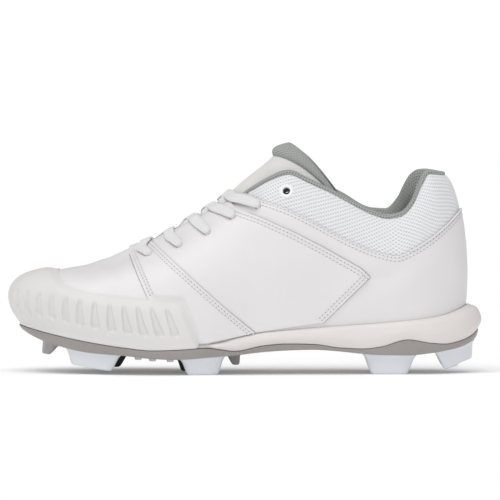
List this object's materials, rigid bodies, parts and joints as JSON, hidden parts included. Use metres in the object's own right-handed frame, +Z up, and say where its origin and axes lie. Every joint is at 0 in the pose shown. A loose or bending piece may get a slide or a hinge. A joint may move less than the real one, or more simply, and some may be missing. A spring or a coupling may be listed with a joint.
{
  "type": "moulded stud softball shoe",
  "caption": "Low left softball shoe with a leather and mesh upper, ribbed rubber toe guard, padded tongue, flat laces and a wedge sole on moulded studs.",
  "frame": {"origin": "bottom centre of the bounding box, on the floor under the middle of the shoe", "axes": "+X along the shoe towards the heel, -Y to the outer side of the foot, +Z up"},
  "size_m": [0.284, 0.1006, 0.1366],
  "materials": {
    "upper_leather": "smooth coated white leather, low sheen",
    "guard_rubber": "moulded off-white rubber, satin",
    "midsole_foam": "moulded off-white foam with a fine skin",
    "outsole_plate": "moulded taupe grey plate, satin",
    "stud_plastic": "moulded pale studs, satin",
    "blade_plastic": "moulded black blades, satin",
    "tongue_cloth": "woven cream cloth over foam",
    "lining_cloth": "grey woven lining",
    "lace_cloth": "white woven flat lace",
    "eyelet_plastic": "white moulded ring"
  },
  "bodies": {
    "root": {"outsole": "outsole_plate", "midsole": "midsole_foam", "insole": "lining_cloth", "upper": "upper_leather", "toe_guard": "guard_rubber", "tongue": "tongue_cloth", "side_panel_outer": "upper_leather", "side_panel_inner": "upper_leather", "eyelet_outer": "eyelet_plastic", "eyelet_inner": "eyelet_plastic", "lace_bar_1": "lace_cloth", "lace_cross_2": "lace_cloth", "lace_cross_3": "lace_cloth", "lace_cross_4": "lace_cloth", "lace_cross_5": "lace_cloth", "stud_fore_outer": "stud_plastic", "stud_fore_inner": "stud_plastic", "stud_ball_outer": "stud_plastic", "stud_ball_inner": "stud_plastic", "stud_heel_front_outer": "stud_plastic", "stud_heel_front_inner": "stud_plastic", "stud_heel_back_outer": "stud_plastic", "stud_heel_back_inner": "stud_plastic", "stud_toe": "outsole_plate", "stud_pivot": "outsole_plate", "stud_fore_blade": "blade_plastic", "stud_ball_blade": "blade_plastic"}
  },
  "joints": []
}
